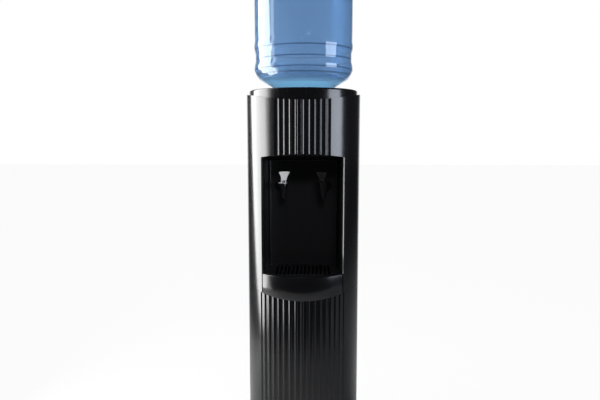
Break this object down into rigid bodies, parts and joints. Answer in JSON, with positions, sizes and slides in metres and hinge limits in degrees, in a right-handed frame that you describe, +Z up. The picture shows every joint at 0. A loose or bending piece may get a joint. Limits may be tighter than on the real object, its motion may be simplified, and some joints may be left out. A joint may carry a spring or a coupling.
{
  "type": "water cooler",
  "caption": "Floor-standing water cooler: a fluted half-round cabinet with lever taps in a niche, a drip tray that slides out and an inverted bottle that lifts off.",
  "frame": {"origin": "on the floor, in the middle of the footprint, under the bottle's axis", "axes": "+Z up, -Y out of the round front towards the user, +X to the right as seen by the user"},
  "size_m": [0.316, 0.316, 1.418],
  "materials": {
    "cabinet": "dark graphite moulded plastic, satin gloss",
    "side_steel": "dark graphite powder coat, satin",
    "black_plastic": "black moulded plastic, semi-matt",
    "pale_plastic": "pale grey moulded plastic, glossy",
    "bottle": "clear blue polycarbonate",
    "galvanised": "galvanised sheet",
    "stainless": "stainless steel",
    "copper": "copper tube",
    "condenser_black": "black enamel on steel",
    "foam": "white expanded foam",
    "silicone": "food-grade silicone, milky",
    "rubber": "black rubber"
  },
  "bodies": {
    "cabinet": {"base_pan": "galvanised", "feet": "rubber", "left_side_panel": "side_steel", "right_side_panel": "side_steel", "rear_panel": "galvanised", "panel_screws": "stainless", "top_frame": "cabinet", "collar": "cabinet", "front_upper_shell": "cabinet", "front_lower_panel": "cabinet", "niche_liner": "black_plastic", "tank_shelf": "galvanised", "insulation": "foam", "reservoir": "stainless", "baffle": "pale_plastic", "reservoir_gasket": "silicone", "reservoir_lid": "pale_plastic", "left_tap_body": "black_plastic", "right_tap_body": "black_plastic", "left_bonnet": "pale_plastic", "right_bonnet": "black_plastic", "lever_pins": "stainless", "left_spring": "stainless", "right_spring": "stainless", "shank_nuts": "galvanised", "shank_washers": "rubber", "left_water_tube": "silicone", "right_water_tube": "silicone", "evaporator_coil": "copper", "suction_line": "copper", "discharge_line": "copper", "liquid_line": "copper", "capillary_tube": "copper", "filter_drier": "copper", "condenser_tube": "condenser_black", "condenser_wires": "condenser_black", "condenser_brackets": "galvanised", "compressor": "condenser_black", "compressor_grommets": "rubber", "compressor_bolts": "stainless", "starter_box": "black_plastic", "wiring_lead": "rubber", "thermostat": "black_plastic", "power_inlet": "black_plastic", "inlet_pins": "copper"},
    "guard": {"bottle_guard": "black_plastic"},
    "bottle": {"bottle": "bottle", "bottle_cap": "pale_plastic"},
    "tray": {"drip_tray": "cabinet"},
    "grille": {"drip_grille": "black_plastic"},
    "left_lever": {"left_lever": "pale_plastic"},
    "right_lever": {"right_lever": "black_plastic"},
    "left_stem": {"left_stem": "stainless", "left_seat_cup": "silicone"},
    "right_stem": {"right_stem": "stainless", "right_seat_cup": "silicone"},
    "knob": {"thermostat_shaft": "stainless", "thermostat_knob": "black_plastic"}
  },
  "joints": [
    {"name": "guard_lift", "type": "slide", "parent": "cabinet", "child": "guard", "axis": [0, 0, 1], "range_m": [0, 0.1]},
    {"name": "bottle_lift", "type": "slide", "parent": "guard", "child": "bottle", "axis": [0, 0, 1], "range_m": [0, 0.15]},
    {"name": "tray_slide", "type": "slide", "parent": "cabinet", "child": "tray", "axis": [0, -1, 0], "range_m": [0, 0.15]},
    {"name": "grille_lift", "type": "slide", "parent": "tray", "child": "grille", "axis": [0, 0, 1], "range_m": [0, 0.04]},
    {"name": "left_lever_hinge", "type": "hinge", "parent": "cabinet", "child": "left_lever", "pos_m": [-0.05361, -0.0563, 0.759], "axis": [0.9659, 0.2588, 0], "range_deg": [0, 25.1]},
    {"name": "left_stem_slide", "type": "slide", "parent": "cabinet", "child": "left_stem", "axis": [0, 0, 1], "range_m": [0, 0.004], "stiffness_N_per_m": 300, "springref_m": -0.002, "deforming": ["left_spring"]},
    {"name": "right_lever_hinge", "type": "hinge", "parent": "cabinet", "child": "right_lever", "pos_m": [0.05361, -0.0563, 0.759], "axis": [0.9659, -0.2588, 0], "range_deg": [0, 25.1]},
    {"name": "right_stem_slide", "type": "slide", "parent": "cabinet", "child": "right_stem", "axis": [0, 0, 1], "range_m": [0, 0.004], "stiffness_N_per_m": 300, "springref_m": -0.002, "deforming": ["right_spring"]},
    {"name": "knob_turn", "type": "hinge", "parent": "cabinet", "child": "knob", "pos_m": [0.11, 0.13, 0.915], "axis": [0, 1, 0], "range_deg": [0, 270]}
  ],
  "couplings": [
    {"joint": "left_lever_hinge", "follows": "left_stem_slide", "rad_per_m": 109.08},
    {"joint": "right_lever_hinge", "follows": "right_stem_slide", "rad_per_m": 109.08}
  ]
}
